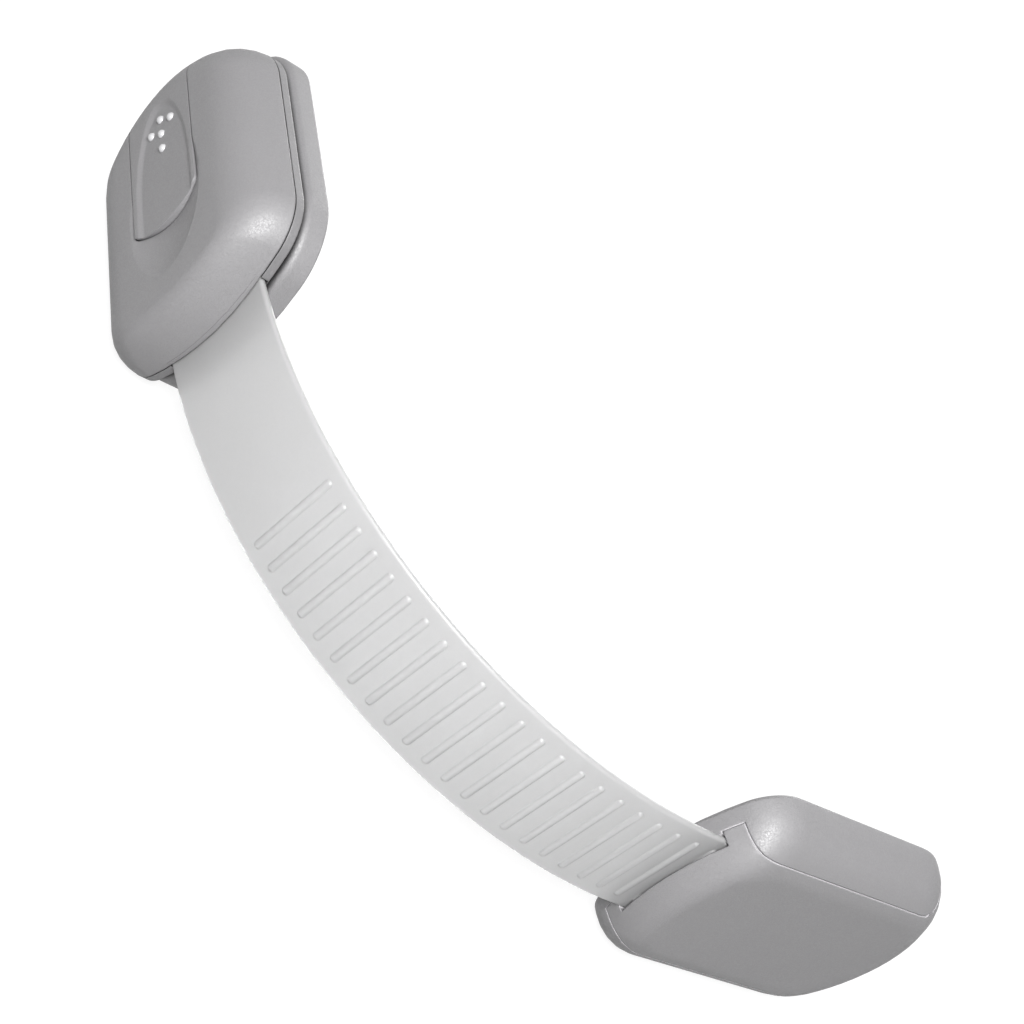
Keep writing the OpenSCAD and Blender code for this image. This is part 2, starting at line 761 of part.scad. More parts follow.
module adjuster_lid() {
    color(plastic) in_adjuster() difference() {
        union() {
            intersection() {
                difference() {
                    adjuster_form();
                    adjuster_room();
                }
                lid_space(0);
            }
            grip_teeth();
            lid_lugs();
        }
        bar(notch_half_w, -overrun, 0, front_wall_t * 2, notch_top);
        pivot_rod(knuckle_half_w + seam, knuckle_r + seam);
        pivot_rod(pin_l / 2 + slip, pin_r + pin_slip);
    }
}

// Cross plates under the lid that drop between the strap's ribs
module grip_teeth() {
    for (i = [0:tooth_n - 1])
        let (y = adjuster_in + first_tail_rib + (tooth_first + i + 1 / 2) * rib_pitch - tooth_t / 2)
            bar(tooth_half_w, y, strap_h + tooth_gap, tooth_t, lid_inner_h + sink - strap_h - tooth_gap);
}

// Hinge lugs that hang from the lid on both sides of the base's knuckle
module lid_lugs() {
    intersection() {
        adjuster_form();
        for (s = [-1, 1]) translate([s * (knuckle_half_w + seam + lug_w / 2), 0, 0]) {
            pivot_rod(lug_w / 2, knuckle_r);
            bar(lug_w / 2, pivot_y - knuckle_r, pivot_h, 2 * knuckle_r, lid_inner_h + sink - pivot_h);
        }
    }
}

module lid_hinge_pin() {
    color(steel) in_adjuster() pivot_rod(pin_l / 2, pin_r);
}

module adjuster_pad() {
    color(foam) in_adjuster() intersection() {
        slab(inset_outline(adjuster_outline, pad_inset), -pad_t, 0);
        bar(half_w, 0, -pad_t, cap_y - seam, pad_t);
    }
}

latch_cover();
latch_back_shell();
release_slide();
slide_spring();
catch_clip();
latch_screws();
latch_plate();
latch_pad();
strap();
adjuster_base();
adjuster_lid();
lid_hinge_pin();
adjuster_pad();
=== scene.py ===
"""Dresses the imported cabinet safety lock: housings, ribbed strap, foam pads, steel parts and stage."""

import json
import math

import bpy
from mathutils import Matrix, Vector

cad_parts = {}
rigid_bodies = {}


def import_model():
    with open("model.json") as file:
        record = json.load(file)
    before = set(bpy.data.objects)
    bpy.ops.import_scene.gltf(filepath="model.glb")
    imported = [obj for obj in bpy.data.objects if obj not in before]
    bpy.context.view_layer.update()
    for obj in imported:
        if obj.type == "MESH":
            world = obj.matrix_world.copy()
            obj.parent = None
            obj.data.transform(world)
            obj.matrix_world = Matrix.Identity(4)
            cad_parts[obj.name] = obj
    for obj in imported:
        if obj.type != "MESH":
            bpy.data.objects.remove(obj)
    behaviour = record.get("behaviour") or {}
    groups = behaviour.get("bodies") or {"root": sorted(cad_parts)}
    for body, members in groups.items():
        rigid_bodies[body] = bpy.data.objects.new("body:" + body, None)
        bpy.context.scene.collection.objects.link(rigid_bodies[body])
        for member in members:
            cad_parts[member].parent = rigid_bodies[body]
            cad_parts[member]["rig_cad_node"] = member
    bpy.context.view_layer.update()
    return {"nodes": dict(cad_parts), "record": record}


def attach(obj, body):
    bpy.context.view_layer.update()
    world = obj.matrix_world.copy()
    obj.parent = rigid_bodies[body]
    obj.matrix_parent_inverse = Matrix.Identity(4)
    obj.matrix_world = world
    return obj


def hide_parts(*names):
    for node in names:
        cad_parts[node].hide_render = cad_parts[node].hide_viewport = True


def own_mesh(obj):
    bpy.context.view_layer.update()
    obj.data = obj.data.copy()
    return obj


bl_info = {
    "name": "Cabinet safety lock",
    "version": (1, 0, 0),
    "blender": (4, 5, 0),
    "location": "View3D > Sidebar > Safety lock",
    "description": "Builds the looks of a cabinet safety lock around its packed frame",
    "category": "Object",
}

# The startup objects go first, so that only the lock is left in the scene
for leftover in list(bpy.data.objects):
    bpy.data.objects.remove(leftover)
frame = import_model()
BODY_OF = {n: b for b, members in frame["record"]["behaviour"]["bodies"].items() for n in members}


class LockSizes(bpy.types.PropertyGroup):
    """Sizes of the strap, the dots, the pads and the spring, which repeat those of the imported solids."""

    strap_width: bpy.props.FloatProperty(
        name="Strap width", description="Width of the strap", default=0.022, unit="LENGTH")
    strap_thickness: bpy.props.FloatProperty(
        name="Strap thickness", description="Thickness of the strap", default=0.0012, unit="LENGTH")
    bend_radius: bpy.props.FloatProperty(
        name="Bend radius", description="Radius of the bend at the strap's front face", default=0.083,
        unit="LENGTH")
    bend_centre: bpy.props.FloatVectorProperty(
        name="Bend centre", description="Middle of the bend", default=(0.0192, 0.021625, 0.02075),
        subtype="TRANSLATION", unit="LENGTH", precision=5)
    anchor_length: bpy.props.FloatProperty(
        name="Anchor length", description="Length of the strap held in the latch", default=0.0084,
        unit="LENGTH")
    tail_length: bpy.props.FloatProperty(
        name="Tail length", description="Length of the strap in the adjuster", default=0.034, unit="LENGTH")
    eyelet_radius: bpy.props.FloatProperty(
        name="Eyelet radius", description="Radius of the strap's two holes", default=0.00225, unit="LENGTH")
    eyelet_offset: bpy.props.FloatProperty(
        name="Eyelet offset", description="Distance of a hole from the strap's middle", default=0.0065,
        unit="LENGTH")
    rib_start: bpy.props.FloatProperty(
        name="First rib", description="Length along the strap to the first rib", default=0.0448,
        unit="LENGTH")
    rib_pitch: bpy.props.FloatProperty(
        name="Rib pitch", description="Distance from one rib to the next", default=0.00396, unit="LENGTH")
    rib_length: bpy.props.FloatProperty(
        name="Rib length", description="Length of a rib across the strap", default=0.0174, unit="LENGTH")
    rib_radius: bpy.props.FloatProperty(
        name="Rib radius", description="Radius of a rib's back", default=0.00075, unit="LENGTH")
    rib_height: bpy.props.FloatProperty(
        name="Rib height", description="Height of a rib above the strap", default=0.0004, unit="LENGTH")
    slide_travel: bpy.props.FloatProperty(
        name="Slide travel", description="Way of the slide, by which its spring shortens", default=0.004,
        unit="LENGTH")
    first_dot: bpy.props.FloatVectorProperty(
        name="First dot", description="Middle of the lowest dot's ball", default=(-0.0704, 0.046125, 0.02075),
        subtype="TRANSLATION", unit="LENGTH", precision=5)
    dot_radius: bpy.props.FloatProperty(
        name="Dot radius", description="Radius of a dot's ball", default=0.00081, unit="LENGTH")
    dot_pitch: bpy.props.FloatProperty(
        name="Dot pitch", description="Distance between dots along the slide", default=0.0035, unit="LENGTH")
    dot_side: bpy.props.FloatProperty(
        name="Dot side", description="Distance of the side dots from the middle", default=0.00255,
        unit="LENGTH")
    pad_round: bpy.props.FloatProperty(
        name="Pad rounding", description="Rounding of a foam pad's rim", default=0.0003, unit="LENGTH")


class LockColours(bpy.types.PropertyGroup):
    """Colours of the finishes."""

    plastic: bpy.props.FloatVectorProperty(
        name="Plastic", description="Satin grey of the housings", subtype="COLOR",
        default=(0.27, 0.265, 0.273))
    strap: bpy.props.FloatVectorProperty(
        name="Strap", description="Milky grey of the strap", subtype="COLOR",
        default=(0.69, 0.69, 0.692))
    dots: bpy.props.FloatVectorProperty(
        name="Dots", description="Polished grey of the raised dots", subtype="COLOR",
        default=(0.62, 0.62, 0.63))
    steel: bpy.props.FloatVectorProperty(
        name="Steel", description="Bright steel of screws, spring, clip and pin", subtype="COLOR",
        default=(0.62, 0.62, 0.63))
    foam: bpy.props.FloatVectorProperty(
        name="Foam", description="White of the foam pads", subtype="COLOR", default=(0.82, 0.82, 0.80))
    floor: bpy.props.FloatVectorProperty(
        name="Floor", description="Floor's own grey, on top of its glow", subtype="COLOR",
        default=(0.2, 0.2, 0.2))


def deselect():
    """Nothing selected, in object mode."""
    if bpy.context.object and bpy.context.object.mode != "OBJECT":
        bpy.ops.object.mode_set(mode="OBJECT")
    bpy.ops.object.select_all(action="DESELECT")


def pick(*objects):
    """Only these are selected, and the last one is active."""
    deselect()
    for o in objects:
        o.select_set(True)
    bpy.context.view_layer.objects.active = objects[-1]


def edit_all(piece):
    """Edit mode on a piece, with all of it selected."""
    pick(piece)
    bpy.ops.object.mode_set(mode="EDIT")
    bpy.ops.mesh.select_all(action="SELECT")


def merged_copy(node, name):
    """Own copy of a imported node, with its loose triangles merged into one closed mesh."""
    source = frame["nodes"][node]
    pick(source)
    bpy.ops.object.duplicate()
    copy = bpy.context.view_layer.objects.active
    copy.name = name
    copy.data.name = name
    bpy.ops.object.parent_clear(type="CLEAR_KEEP_TRANSFORM")
    del copy["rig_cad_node"]
    bpy.ops.mesh.customdata_custom_splitnormals_clear()
    edit_all(copy)
    bpy.ops.mesh.remove_doubles(threshold=1e-6)
    bpy.ops.object.mode_set(mode="OBJECT")
    return copy


def settle(piece, node, material):
    """The piece stands for a node, rides on its body and takes a material."""
    piece.data.materials.clear()
    piece.data.materials.append(material)
    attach(piece, BODY_OF[node])
    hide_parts(node)


def smooth(piece, degrees):
    """Smooth shading, with creases kept above an angle and large faces kept flat."""
    pick(piece)
    bpy.ops.object.shade_smooth_by_angle(angle=math.radians(degrees))
    weigh = piece.modifiers.new("even_normals", "WEIGHTED_NORMAL")
    weigh.keep_sharp = True
    weigh.weight = 80
    bpy.ops.object.modifier_apply(modifier=weigh.name)


def new_material(name):
    """Empty node material with its shader and object coordinates."""
    material = bpy.data.materials.new(name)
    material.use_nodes = True
    tree = material.node_tree
    shader = tree.nodes["Principled BSDF"]
    coords = tree.nodes.new("ShaderNodeTexCoord")
    return material, tree, shader, coords.outputs["Object"]


def new_group(name, inputs, outputs):
    """Shader node group with named sockets, and its two end nodes."""
    group = bpy.data.node_groups.new(name, "ShaderNodeTree")
    for way, sockets in (("INPUT", inputs), ("OUTPUT", outputs)):
        for socket, kind in sockets.items():
            group.interface.new_socket(socket, in_out=way, socket_type="NodeSocket" + kind)
    return group, group.nodes.new("NodeGroupInput"), group.nodes.new("NodeGroupOutput")


def grain_group():
    """Fine flecks and a faint cloud, shared by every finish of the lock."""
    if "moulded_grain" in bpy.data.node_groups:
        return bpy.data.node_groups["moulded_grain"]
    group, given, made = new_group(
        "moulded_grain",
        {"Coordinates": "Vector", "Colour": "Color", "Fleck scale": "Float", "Fleck amount": "Float",
         "Cloud amount": "Float", "Rough low": "Float", "Rough high": "Float"},
        {"Colour": "Color", "Roughness": "Float", "Height": "Float"})
    nodes, links = group.nodes, group.links
    flecks = nodes.new("ShaderNodeTexVoronoi")
    links.new(given.outputs["Coordinates"], flecks.inputs["Vector"])
    links.new(given.outputs["Fleck scale"], flecks.inputs["Scale"])
    spread = nodes.new("ShaderNodeSeparateColor")
    links.new(flecks.outputs["Color"], spread.inputs["Color"])
    fine = nodes.new("ShaderNodeMapRange")
    fine.inputs["To Min"].default_value = -1
    links.new(spread.outputs["Red"], fine.inputs["Value"])
    fleck = nodes.new("ShaderNodeMath")
    fleck.operation = "MULTIPLY"
    links.new(fine.outputs["Result"], fleck.inputs[0])
    links.new(given.outputs["Fleck amount"], fleck.inputs[1])
    cloud = nodes.new("ShaderNodeTexNoise")
    cloud.inputs["Scale"].default_value = 90
    cloud.inputs["Detail"].default_value = 3
    links.new(given.outputs["Coordinates"], cloud.inputs["Vector"])
    drift = nodes.new("ShaderNodeMapRange")
    drift.inputs["From Min"].default_value = 0.25
    drift.inputs["From Max"].default_value = 0.75
    drift.inputs["To Min"].default_value = -1
    links.new(cloud.outputs["Fac"], drift.inputs["Value"])
    shade = nodes.new("ShaderNodeMath")
    shade.operation = "MULTIPLY_ADD"
    links.new(drift.outputs["Result"], shade.inputs[0])
    links.new(given.outputs["Cloud amount"], shade.inputs[1])
    links.new(fleck.outputs["Value"], shade.inputs[2])
    level = nodes.new("ShaderNodeMath")
    level.operation = "ADD"
    level.inputs[1].default_value = 1
    links.new(shade.outputs["Value"], level.inputs[0])
    scaled_colour = nodes.new("ShaderNodeVectorMath")
    scaled_colour.operation = "SCALE"
    links.new(given.outputs["Colour"], scaled_colour.inputs[0])
    links.new(level.outputs["Value"], scaled_colour.inputs["Scale"])
    links.new(scaled_colour.outputs["Vector"], made.inputs["Colour"])
    rough = nodes.new("ShaderNodeMapRange")
    links.new(spread.outputs["Green"], rough.inputs["Value"])
    links.new(given.outputs["Rough low"], rough.inputs["To Min"])
    links.new(given.outputs["Rough high"], rough.inputs["To Max"])
    links.new(rough.outputs["Result"], made.inputs["Roughness"])
    links.new(spread.outputs["Blue"], made.inputs["Height"])
    return group


def painted_seam_shading_group():
    """A colour made darker inside seams by painted shade, or lighter there by painted light, shared by every
    finish of the lock.
    """
    if "painted_seam_shading" in bpy.data.node_groups:
        return bpy.data.node_groups["painted_seam_shading"]
    group, given, made = new_group(
        "painted_seam_shading", {"Colour": "Color", "Reach": "Float", "Share inside": "Float"}, {"Colour": "Color"})
    nodes, links = group.nodes, group.links
    # Painted shade: where the surroundings close in, as in seams and crevices, the colour is scaled towards
    # the share inside; a share above 1 paints light there instead
    closed = nodes.new("ShaderNodeAmbientOcclusion")
    closed.samples = 6
    links.new(given.outputs["Reach"], closed.inputs["Distance"])
    depth = nodes.new("ShaderNodeMapRange")
    depth.inputs["From Min"].default_value = 0.3
    depth.inputs["From Max"].default_value = 0.9
    links.new(closed.outputs["AO"], depth.inputs["Value"])
    links.new(given.outputs["Share inside"], depth.inputs["To Min"])
    scaled_colour = nodes.new("ShaderNodeVectorMath")
    scaled_colour.operation = "SCALE"
    links.new(given.outputs["Colour"], scaled_colour.inputs[0])
    links.new(depth.outputs["Result"], scaled_colour.inputs["Scale"])
    links.new(scaled_colour.outputs["Vector"], made.inputs["Colour"])
    return group


def edge_group():
    """Surface normal with rounded edges and fine bumps, shared by every finish of the lock."""
    if "soft_edges" in bpy.data.node_groups:
        return bpy.data.node_groups["soft_edges"]
    group, given, made = new_group(
        "soft_edges", {"Height": "Float", "Bump depth": "Float", "Edge radius": "Float"},
        {"Normal": "Vector"})
    nodes, links = group.nodes, group.links
    soften = nodes.new("ShaderNodeBevel")
    soften.samples = 8
    links.new(given.outputs["Edge radius"], soften.inputs["Radius"])
    bump = nodes.new("ShaderNodeBump")
    links.new(given.outputs["Bump depth"], bump.inputs["Distance"])
    links.new(given.outputs["Height"], bump.inputs["Height"])
    links.new(soften.outputs["Normal"], bump.inputs["Normal"])
    links.new(bump.outputs["Normal"], made.inputs["Normal"])
    return group


def placed(tree, group, **values):
    """Node that holds a group, with its own values."""
    node = tree.nodes.new("ShaderNodeGroup")
    node.node_tree = group
    for name, value in values.items():
        node.inputs[name.replace("_", " ")].default_value = value
    return node


def grained(name, colour, grain, rough, bump_depth, edge_radius, painted_shading_in_seams):
    """Material with the shared grain, painted shade in seams (painted light where the share inside is above
    1) and soft edges.

    grain is the flecks' scale and amount and the cloud's amount, rough the lowest and highest roughness,
    and the last argument how far the painted shade in seams reaches and the share of the colour inside them,
    which paints light where it is above 1.
    """
    material, tree, shader, coords = new_material(name)
    fleck_scale, fleck_amount, cloud_amount = grain
    rough_low, rough_high = rough
    reach, share_inside = painted_shading_in_seams
    flecked = placed(tree, grain_group(), Colour=(*colour, 1), Fleck_scale=fleck_scale,
                     Fleck_amount=fleck_amount, Cloud_amount=cloud_amount, Rough_low=rough_low,
                     Rough_high=rough_high)
    # Painted shade in seams and crevices, or painted light where the share inside is above 1
    seams = placed(tree, painted_seam_shading_group(), Reach=reach, Share_inside=share_inside)
    edges = placed(tree, edge_group(), Bump_depth=bump_depth, Edge_radius=edge_radius)
    tree.links.new(coords, flecked.inputs["Coordinates"])
    tree.links.new(flecked.outputs["Colour"], seams.inputs["Colour"])
    tree.links.new(flecked.outputs["Height"], edges.inputs["Height"])
    tree.links.new(seams.outputs["Colour"], shader.inputs["Base Color"])
    tree.links.new(flecked.outputs["Roughness"], shader.inputs["Roughness"])
    tree.links.new(edges.outputs["Normal"], shader.inputs["Normal"])
    return material, shader


def plastic_material(name="satin_plastic", painted_shading_in_seams=(0.0003, 0.25), shade=1):
    """Satin grey moulded plastic with fine metallic flecks, and painted shade in its seams (painted light
    where the share inside is above 1).
    """
    if name in bpy.data.materials:
        return bpy.data.materials[name]
    colour = [shade * part for part in bpy.context.scene.lock_colours.plastic]
    material, shader = grained(name, colour, grain=(5500, 0.01, 0.006), rough=(0.43, 0.66),
                               bump_depth=4.5e-5, edge_radius=0.00035, painted_shading_in_seams=painted_shading_in_seams)
    shader.inputs["IOR"].default_value = 1.55
    shader.inputs["Specular IOR Level"].default_value = 1
    return material


def dot_material():
    """Polished tops of the raised dots."""
    colour = bpy.context.scene.lock_colours.dots
    # Painted shade darkens the colour in crevices, down to half of it
    material, shader = grained("polished_dots", colour, grain=(5500, 0.01, 0.006), rough=(0.22, 0.3),
                               bump_depth=2e-6, edge_radius=0.0001, painted_shading_in_seams=(0.0003, 0.5))
    shader.inputs["Specular IOR Level"].default_value = 1
    return material


def strap_material():
    """Milky, slightly see-through strap."""
    colour = bpy.context.scene.lock_colours.strap
    # Painted shade darkens the colour in crevices, down to 0.6 of it
    material, shader = grained("milky_strap", colour, grain=(2500, 0.008, 0.015), rough=(0.32, 0.4),
                               bump_depth=1e-6, edge_radius=0.00025, painted_shading_in_seams=(0.0004, 0.6))
    shader.inputs["Transmission Weight"].default_value = 0.5
    shader.inputs["IOR"].default_value = 1.45
    return material


def foam_material():
    """White closed-cell foam."""
    if "pad_foam" in bpy.data.materials:
        return bpy.data.materials["pad_foam"]
    colour = bpy.context.scene.lock_colours.foam
    # Painted shade darkens the colour in crevices, down to 0.6 of it
    material, shader = grained("pad_foam", colour, grain=(2200, 0.05, 0.03), rough=(0.8, 0.95),
                               bump_depth=6e-5, edge_radius=0.0002, painted_shading_in_seams=(0.001, 0.6))
    shader.inputs["Specular IOR Level"].default_value = 0.25
    return material


def steel_material():
    """Bright drawn steel."""
    if "drawn_steel" in bpy.data.materials:
        return bpy.data.materials["drawn_steel"]
    colour = bpy.context.scene.lock_colours.steel
    # Painted shade darkens the colour in crevices, down to half of it
    material, shader = grained("drawn_steel", colour, grain=(9000, 0.06, 0.04), rough=(0.22, 0.34),
                               bump_depth=1e-6, edge_radius=0.0001, painted_shading_in_seams=(0.0005, 0.5))
    shader.inputs["Metallic"].default_value = 1
    return material


class HousingsOperator(bpy.types.Operator):
    """Smooth plastic housings: latch cover, back shell and plate, adjuster base and lid"""

    bl_idname = "lock.housings"
    bl_label = "Housings"

    def execute(self, context):
        """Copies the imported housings, merges and smooths them."""
        for node in ("latch_cover", "latch_back_shell", "latch_plate", "adjuster_base", "adjuster_lid"):
            housing = merged_copy(node, node + "_shell")
            smooth(housing, degrees=32)
            settle(housing, node, self.finish(node))
        return {"FINISHED"}

    def finish(self, node):
        """Painted shade deep in the grooves round the plate and the back shell, and painted light in the
        seams on the adjuster.
        """
        if node == "latch_plate":
            return plastic_material("plate_plastic_painted_groove_shade", painted_shading_in_seams=(0.002, 0.05))
        if node == "latch_back_shell":
            # The back shell's plastic is written darker than the rest, at 0.75 of the colour
            return plastic_material("back_shell_plastic_painted_groove_shade", painted_shading_in_seams=(0.0014, 0.1), shade=0.75)
        if node.startswith("adjuster"):
            return plastic_material("adjuster_plastic_painted_seam_light", painted_shading_in_seams=(0.0004, 3.5))
        return plastic_material()


class SlideOperator(bpy.types.Operator):
    """Release slide with its thumb scoop and raised dots"""

    bl_idname = "lock.slide"
    bl_label = "Release slide"

    def execute(self, context):
        """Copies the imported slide, merges and smooths it, and sets the dots on it."""
        slide = merged_copy("release_slide", "release_slide_plate")
        smooth(slide, degrees=28)
        settle(slide, "release_slide", plastic_material())
        settle(self.dots(context.scene.lock_sizes), "release_slide", dot_material())
        return {"FINISHED"}

    def dots(self, s):
        """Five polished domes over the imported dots, in the shape of an arrow."""
        deselect()
        bpy.ops.mesh.primitive_uv_sphere_add(
            segments=32, ring_count=16, radius=s.dot_radius, location=s.first_dot,
            rotation=(0, math.pi / 2, 0))
        dome = bpy.context.view_layer.objects.active
        bpy.ops.object.transform_apply(location=True, rotation=True, scale=True)
        edit_all(dome)
        # The flat foot lies behind the ball's middle, inside the slide
        hidden_foot = Vector(s.first_dot) + Vector((s.dot_radius / 4, 0, 0))
        bpy.ops.mesh.bisect(plane_co=hidden_foot, plane_no=(1, 0, 0), use_fill=True, clear_outer=True)
        bpy.ops.object.mode_set(mode="OBJECT")
        bpy.ops.object.shade_smooth_by_angle(angle=math.radians(40))
        made = [dome]
        # Places of the other dots, in steps across and along the slide
        for across, along in ((0, 1), (0, 2), (-1, 1.5), (1, 1.5)):
            pick(dome)
            bpy.ops.object.duplicate()
            copy = bpy.context.view_layer.objects.active
            edit_all(copy)
            bpy.ops.transform.translate(value=(0, along * s.dot_pitch, across * s.dot_side))
            bpy.ops.object.mode_set(mode="OBJECT")
            made.append(copy)
        pick(*made)
        bpy.ops.object.join()
        dots = bpy.context.view_layer.objects.active
        dots.name = "slide_dots"
        return dots


class StrapOperator(bpy.types.Operator):
    """Ribbed strap, bent through a quarter turn"""

    bl_idname = "lock.strap"
    bl_label = "Strap"

    def execute(self, context):
        """Extrudes and spins the strap's section, cuts its eyelets and adds the ribs."""
        s = context.scene.lock_sizes
        centre = Vector(s.bend_centre)
        middle = s.bend_radius - s.strap_thickness / 2
        deselect()
        bpy.ops.mesh.primitive_plane_add(
            size=1, location=centre + Vector((-middle, s.anchor_length, 0)), rotation=(math.pi / 2, 0, 0))
        strap = context.view_layer.objects.active
        strap.name = "ribbed_strap"
        strap.scale = (s.strap_thickness, s.strap_width, 1)
        bpy.ops.object.transform_apply(location=True, rotation=True, scale=True)
        edit_all(strap)
        # Just under half the thickness, so that the round edges' corners stay apart
        bpy.ops.mesh.bevel(offset=0.48 * s.strap_thickness, segments=6, affect="VERTICES")
        bpy.ops.mesh.extrude_region_move(TRANSFORM_OT_translate={"value": (0, -s.anchor_length, 0)})
        bpy.ops.mesh.spin(steps=90, angle=-math.pi / 2, center=centre, axis=(0, 0, 1))
        bpy.ops.mesh.extrude_region_move(TRANSFORM_OT_translate={"value": (s.tail_length, 0, 0)})
        bpy.ops.mesh.select_all(action="SELECT")
        bpy.ops.mesh.normals_make_consistent(inside=False)
        self.cut_eyelets(strap, s, centre, middle)
        ribs = self.ribs(s, centre)
        pick(strap)
        fuse = strap.modifiers.new("ribs", "BOOLEAN")
        fuse.operation = "UNION"
        fuse.object = ribs
        fuse.solver = "EXACT"
        bpy.ops.object.modifier_apply(modifier=fuse.name)
        bpy.data.objects.remove(ribs)
        bpy.ops.object.shade_smooth_by_angle(angle=math.radians(40))
        settle(strap, "strap", strap_material())
        return {"FINISHED"}

    def cut_eyelets(self, strap, s, centre, middle):
        """Two round holes in the strap's end in the latch."""
        for side in (-1, 1):
            deselect()
            bpy.ops.mesh.primitive_cylinder_add(
                vertices=48, radius=s.eyelet_radius, depth=4 * s.strap_thickness,
                rotation=(0, math.pi / 2, 0),
                location=centre + Vector((-middle, s.anchor_length / 2, side * s.eyelet_offset)))
            drill = bpy.context.view_layer.objects.active
            pick(strap)
            hole = strap.modifiers.new("eyelet", "BOOLEAN")
            hole.object = drill
            hole.solver = "EXACT"
            bpy.ops.object.modifier_apply(modifier=hole.name)
            bpy.data.objects.remove(drill)

    def ribs(self, s, centre):
        """One rounded rib, copied along the bend and the tail.

        The ball has an odd count of rings, so none lies in the middle and its two halves part cleanly.
        """
        bend = s.bend_radius * math.pi / 2
        count = math.floor((bend + s.tail_length - 2 * s.rib_radius - s.rib_start) / s.rib_pitch) + 1
        deselect()
        bpy.ops.mesh.primitive_uv_sphere_add(segments=24, ring_count=13, radius=s.rib_radius)
        rib = bpy.context.view_layer.objects.active
        for side in (-1, 1):
            edit_all(rib)
            bpy.ops.mesh.select_all(action="DESELECT")
            bpy.ops.object.mode_set(mode="OBJECT")
            for vertex in rib.data.vertices:
                vertex.select = side * vertex.co.z > 0
            bpy.ops.object.mode_set(mode="EDIT")
            bpy.ops.transform.translate(value=(0, 0, side * (s.rib_length / 2 - s.rib_radius)))
        bpy.ops.object.mode_set(mode="OBJECT")
        made = []
        for i in range(count):
            along = s.rib_start + i * s.rib_pitch
            pick(rib)
            bpy.ops.object.duplicate()
            copy = bpy.context.view_layer.objects.active
            turn = Matrix.Rotation(math.pi / 2 * min(along / bend, 1), 4, "Z")
            out = Matrix.Translation((s.rib_radius - s.rib_height - s.bend_radius, 0, 0))
            copy.matrix_world = Matrix.Translation(centre + Vector((max(along - bend, 0), 0, 0))) @ turn @ out
            bpy.ops.object.transform_apply(location=True, rotation=True, scale=True)
            made.append(copy)
        bpy.data.objects.remove(rib)
        pick(*made)
        bpy.ops.object.join()
        return bpy.context.view_layer.objects.active


class PadsOperator(bpy.types.Operator):
    """Foam adhesive pads on the backs of the latch plate and the adjuster"""

    bl_idname = "lock.pads"
    bl_label = "Foam pads"

    def execute(self, context):
        """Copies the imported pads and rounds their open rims."""
        s = context.scene.lock_sizes
        # Cosine from which a face counts as facing outward
        facing = 0.9
        for node, outward in (("latch_pad", Vector((1, 0, 0))), ("adjuster_pad", Vector((0, 1, 0)))):
            pad = merged_copy(node, node + "_foam")
            edit_all(pad)
            bpy.ops.mesh.dissolve_limited(angle_limit=math.radians(1))
            bpy.ops.mesh.select_all(action="DESELECT")
            bpy.ops.object.mode_set(mode="OBJECT")
            for face in pad.data.polygons:
                face.select = face.normal.dot(outward) > facing
            bpy.ops.object.mode_set(mode="EDIT")
            bpy.ops.mesh.region_to_loop()
            bpy.ops.mesh.bevel(offset=s.pad_round, segments=4, affect="EDGES")
            bpy.ops.object.mode_set(mode="OBJECT")
            smooth(pad, degrees=40)
            settle(pad, node, foam_material())
        return {"FINISHED"}


class SteelOperator(bpy.types.Operator):
    """Steel screws, return spring, catch clip and hinge pin"""

    bl_idname = "lock.steel"
    bl_label = "Steel parts"

    def execute(self, context):
        """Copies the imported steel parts, merges and smooths them."""
        for node in ("latch_screws", "slide_spring", "catch_clip", "lid_hinge_pin"):
            part = merged_copy(node, node + "_steel")
            smooth(part, degrees=40)
            settle(part, node, steel_material())
            if node == "slide_spring":
                self.press(part, context.scene.lock_sizes.slide_travel)
        return {"FINISHED"}

    def press(self, spring, travel):
        """Gives the spring a mesh of its own; the slide's travel is not used."""
        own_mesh(spring)


